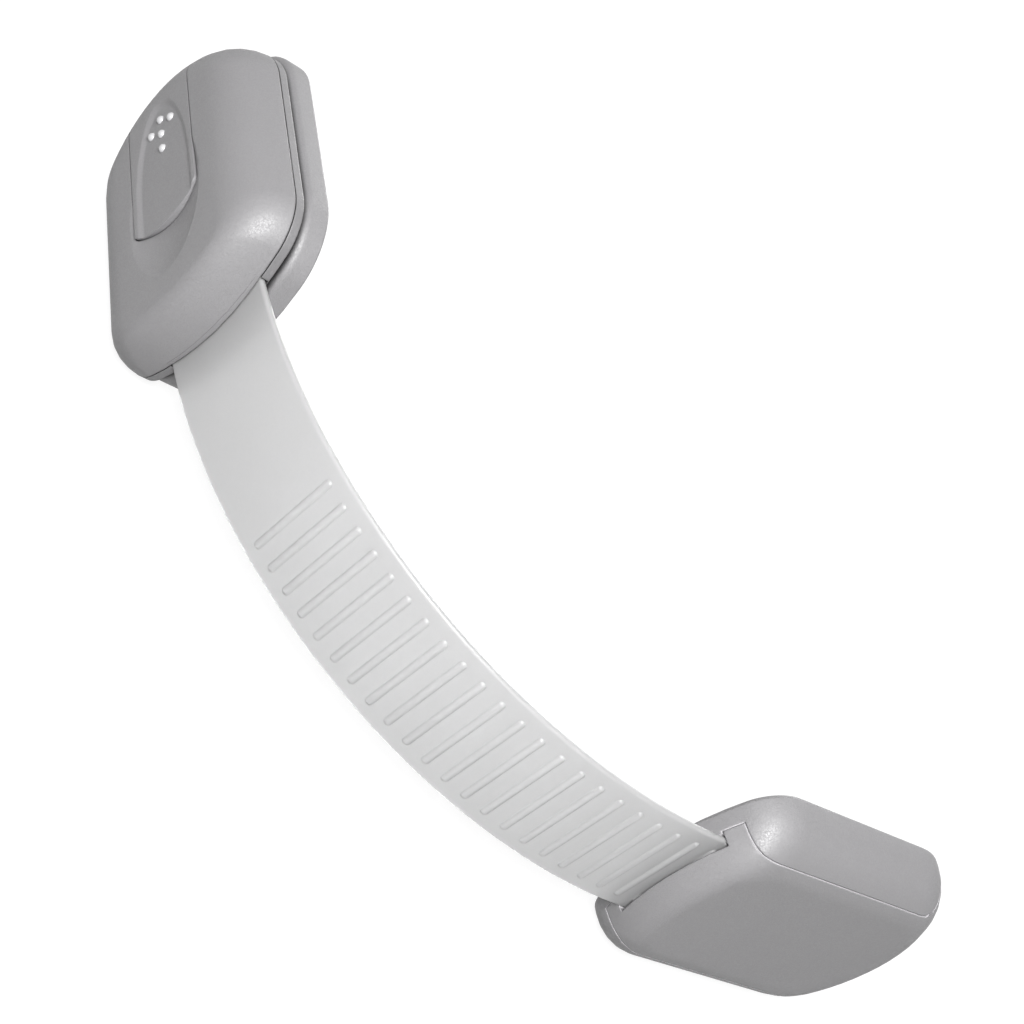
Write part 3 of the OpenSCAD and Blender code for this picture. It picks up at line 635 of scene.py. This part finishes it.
class StageOperator(bpy.types.Operator):
    """Plain pale floor, soft lights and the camera"""

    bl_idname = "lock.stage"
    bl_label = "Stage"

    def execute(self, context):
        """Adds the floor, the lights, the world and the camera."""
        scene = context.scene
        deselect()
        # A hair below the lock, so that no face of it lies in the floor
        floor_level = -0.0001
        bpy.ops.mesh.primitive_plane_add(size=6, location=(0, 0, floor_level))
        floor = context.view_layer.objects.active
        floor.name = "floor"
        floor.data.materials.append(self.floor_material(scene.lock_colours.floor))
        self.softbox("key_light", place=Vector((-0.27, -0.267, 0.4)), across=(0.19, 0.28), power=4.3)
        self.softbox("fill_light", place=Vector((0.7, 0.76, 0.28)), across=(0.4, 0.4), power=4.4)
        scene.world = self.world()
        scene.view_settings.view_transform = "Standard"
        scene.camera = self.camera()
        return {"FINISHED"}

    def camera(self):
        """Camera at the angle that was fitted to the lock's edges and ribs."""
        bpy.ops.object.camera_add()
        camera = bpy.context.view_layer.objects.active
        camera.name = "photo_camera"
        place = Vector((-0.191732, -0.190019, 0.172192))
        right = Vector((0.71284138, -0.16198464, 0.68236218))
        up = Vector((-0.34394227, 0.76717888, 0.54142431))
        back = Vector((-0.61119627, -0.62064285, 0.49116349))
        turn = Matrix((right, up, back)).transposed().to_4x4()
        camera.matrix_world = Matrix.Translation(place) @ turn
        camera.data.sensor_width = 36
        camera.data.lens = 65.587
        camera.data.clip_start = 0.01
        return camera

    def floor_material(self, colour):
        """Matt floor that looks white but throws little light back on the lock, and keeps a soft shadow."""
        material, tree, shader, coords = new_material("pale_floor")
        mottle = tree.nodes.new("ShaderNodeTexNoise")
        mottle.inputs["Scale"].default_value = 30
        tree.links.new(coords, mottle.inputs["Vector"])
        ramp = tree.nodes.new("ShaderNodeValToRGB")
        mottled = [0.99 * part for part in colour]
        ramp.color_ramp.elements[0].color = (*mottled, 1)
        ramp.color_ramp.elements[1].color = (*colour, 1)
        tree.links.new(mottle.outputs["Fac"], ramp.inputs["Fac"])
        tree.links.new(ramp.outputs["Color"], shader.inputs["Base Color"])
        shader.inputs["Roughness"].default_value = 0.9
        shader.inputs["Specular IOR Level"].default_value = 0
        glow = tree.nodes.new("ShaderNodeEmission")
        glow.inputs["Strength"].default_value = 0.9
        lit = tree.nodes.new("ShaderNodeAddShader")
        tree.links.new(shader.outputs["BSDF"], lit.inputs[0])
        tree.links.new(glow.outputs["Emission"], lit.inputs[1])
        dim = tree.nodes.new("ShaderNodeBsdfDiffuse")
        dim.inputs["Color"].default_value = (0.1, 0.1, 0.1, 1)
        choose = tree.nodes.new("ShaderNodeMixShader")
        tree.links.new(self.seen(tree), choose.inputs["Fac"])
        tree.links.new(dim.outputs["BSDF"], choose.inputs[1])
        tree.links.new(lit.outputs["Shader"], choose.inputs[2])
        tree.links.new(choose.outputs["Shader"], tree.nodes["Material Output"].inputs["Surface"])
        return material

    def world(self):
        """Surroundings that look white and give a faint even light."""
        world = bpy.data.worlds.new("studio")
        world.use_nodes = True
        tree = world.node_tree
        white = tree.nodes["Background"]
        white.inputs["Color"].default_value = (1, 1, 1, 1)
        faint = tree.nodes.new("ShaderNodeBackground")
        faint.inputs["Color"].default_value = (1, 0.96, 1.02, 1)
        faint.inputs["Strength"].default_value = 0.04
        choose = tree.nodes.new("ShaderNodeMixShader")
        tree.links.new(self.seen(tree), choose.inputs["Fac"])
        tree.links.new(faint.outputs["Background"], choose.inputs[1])
        tree.links.new(white.outputs["Background"], choose.inputs[2])
        tree.links.new(choose.outputs["Shader"], tree.nodes["World Output"].inputs["Surface"])
        return world

    def seen(self, tree):
        """1 for rays that look at a surface, 0 for those that gather soft light."""
        rays = tree.nodes.new("ShaderNodeLightPath")
        sharp = tree.nodes.new("ShaderNodeMath")
        sharp.operation = "MAXIMUM"
        tree.links.new(rays.outputs["Is Glossy Ray"], sharp.inputs[0])
        tree.links.new(rays.outputs["Is Transmission Ray"], sharp.inputs[1])
        either = tree.nodes.new("ShaderNodeMath")
        either.operation = "MAXIMUM"
        tree.links.new(rays.outputs["Is Camera Ray"], either.inputs[0])
        tree.links.new(sharp.outputs["Value"], either.inputs[1])
        return either.outputs["Value"]

    def softbox(self, name, place, across, power):
        """Oval soft light, so wide and so high, that faces the middle of the lock."""
        bpy.ops.object.light_add(type="AREA", location=place)
        lamp = bpy.context.view_layer.objects.active
        lamp.name = name
        middle = Vector((0, 0, 0.02))
        lamp.rotation_euler = (place - middle).to_track_quat("Z", "Y").to_euler()
        lamp.data.shape = "ELLIPSE"
        lamp.data.size, lamp.data.size_y = across
        lamp.data.energy = power


class LockPanel(bpy.types.Panel):
    """Lists the lock's pieces, sizes and colours"""

    bl_idname = "VIEW3D_PT_safety_lock"
    bl_label = "Safety lock"
    bl_space_type = "VIEW_3D"
    bl_region_type = "UI"
    bl_category = "Safety lock"

    def draw(self, context):
        """Draws a button for each operator, then the values."""
        for operator in OPERATORS:
            self.layout.operator(operator.bl_idname)
        for values in (context.scene.lock_sizes, context.scene.lock_colours):
            for name in values.__annotations__:
                self.layout.prop(values, name)


OPERATORS = (HousingsOperator, SlideOperator, StrapOperator, PadsOperator, SteelOperator, StageOperator)
CLASSES = (LockSizes, LockColours, *OPERATORS, LockPanel)


def register():
    """Registers the classes and the scene's values."""
    for cls in CLASSES:
        bpy.utils.register_class(cls)
    bpy.types.Scene.lock_sizes = bpy.props.PointerProperty(type=LockSizes)
    bpy.types.Scene.lock_colours = bpy.props.PointerProperty(type=LockColours)


def unregister():
    """Takes the classes and the scene's values out again."""
    del bpy.types.Scene.lock_colours
    del bpy.types.Scene.lock_sizes
    for cls in reversed(CLASSES):
        bpy.utils.unregister_class(cls)


def main():
    register()
    bpy.ops.lock.housings()
    bpy.ops.lock.slide()
    bpy.ops.lock.strap()
    bpy.ops.lock.pads()
    bpy.ops.lock.steel()
    bpy.ops.lock.stage()
    deselect()


if __name__ == "__main__":
    main()
